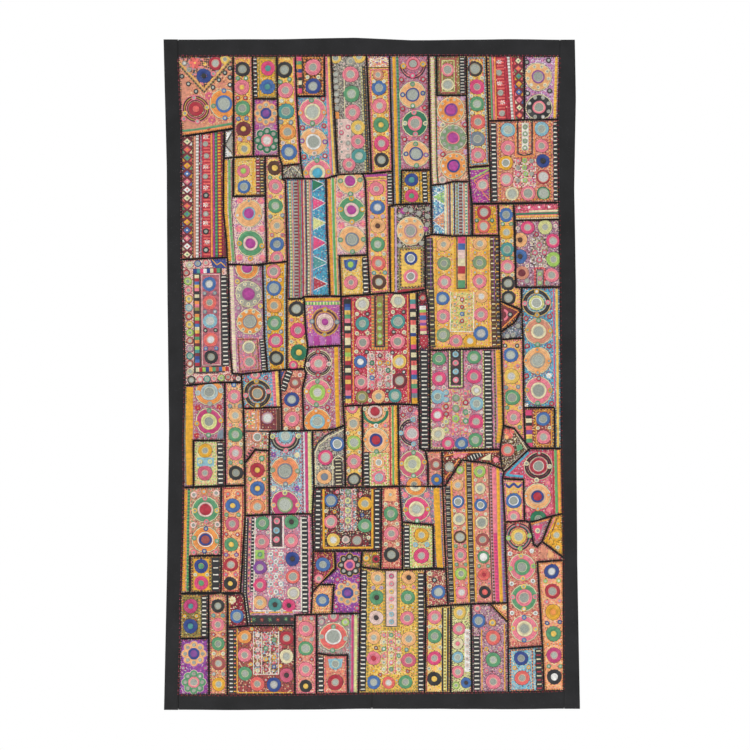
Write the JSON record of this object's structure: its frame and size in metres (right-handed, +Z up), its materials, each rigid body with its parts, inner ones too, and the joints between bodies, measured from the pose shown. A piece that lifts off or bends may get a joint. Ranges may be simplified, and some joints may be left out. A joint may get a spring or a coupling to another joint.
{
  "type": "patchwork wall hanging",
  "caption": "Upright patchwork wall hanging of mirror embroidery, with sewn blocks on a foundation cloth inside a folded black cotton border.",
  "frame": {"origin": "middle of the top edge, in the middle plane of the foundation cloth, where the hanging is held", "axes": "+Z up along the hanging's height, +X to the right seen from the front, -Y out of the embroidered front"},
  "size_m": [0.9998, 0.0105, 1.614],
  "materials": {
    "cloth_black": "woven cotton, matt",
    "cloth_brick": "embroidered cotton, soft sheen",
    "cloth_cream": "embroidered cotton, soft sheen",
    "cloth_crimson": "embroidered cotton, soft sheen",
    "cloth_dark": "woven cotton, matt",
    "cloth_green": "embroidered cotton, soft sheen",
    "cloth_grey": "embroidered cotton, soft sheen",
    "cloth_lilac": "embroidered cotton, soft sheen",
    "cloth_mustard": "embroidered cotton, soft sheen",
    "cloth_orange": "embroidered cotton, soft sheen",
    "cloth_orchid": "embroidered cotton, soft sheen",
    "cloth_peach": "embroidered cotton, soft sheen",
    "cloth_pink": "embroidered cotton, soft sheen",
    "cloth_rose": "embroidered cotton, soft sheen",
    "cloth_salmon": "embroidered cotton, soft sheen",
    "cloth_sky": "embroidered cotton, soft sheen",
    "cloth_violet": "embroidered cotton, soft sheen",
    "cloth_yellow": "embroidered cotton, soft sheen"
  },
  "bodies": {
    "root": {"ground": "cloth_dark", "border_left": "cloth_black", "border_right": "cloth_black", "border_top": "cloth_black", "border_bottom_left": "cloth_black", "border_bottom_right": "cloth_black", "fan_corner": "cloth_salmon", "brocade_strip": "cloth_brick", "rosette_columns": "cloth_peach", "yellow_column": "cloth_yellow", "turquoise_medallions": "cloth_sky", "grey_column": "cloth_grey", "crimson_medallions": "cloth_crimson", "mirror_medallions": "cloth_orange", "lilac_medallions": "cloth_lilac", "bodice_upper_right": "cloth_pink", "purple_star": "cloth_violet", "peach_medallions": "cloth_peach", "left_column": "cloth_yellow", "pennant_stripes": "cloth_rose", "orchid_medallions": "cloth_orchid", "dotted_column": "cloth_yellow", "lilac_medallion": "cloth_lilac", "pennant_pair": "cloth_sky", "bodice_mustard": "cloth_mustard", "mint_column": "cloth_green", "bodice_right_edge": "cloth_pink", "corner_strip": "cloth_rose", "grey_medallions": "cloth_grey", "narrow_column": "cloth_yellow", "gold_target": "cloth_orchid", "rose_medallions": "cloth_rose", "bodice_crimson": "cloth_crimson", "ladder_strip": "cloth_dark", "green_ring_column": "cloth_yellow", "sky_medallions": "cloth_sky", "bodice_green_rings": "cloth_rose", "mustard_edge": "cloth_mustard", "sky_target": "cloth_sky", "orange_medallions": "cloth_orange", "cut_corner_rings": "cloth_peach", "green_arc": "cloth_green", "fan_patches": "cloth_dark", "rose_target": "cloth_rose", "long_columns": "cloth_orange", "left_medallions": "cloth_green", "bodice_white_beads": "cloth_cream", "bodice_black": "cloth_dark", "rose_medallion": "cloth_rose", "violet_rosettes": "cloth_violet", "bodice_olive": "cloth_mustard", "salmon_medallions": "cloth_salmon", "right_column": "cloth_peach", "violet_corner": "cloth_violet", "bodice_bottom_left": "cloth_peach", "bottom_medallion": "cloth_orange", "bottom_columns": "cloth_peach", "bottom_cut_corner": "cloth_grey"}
  },
  "joints": []
}
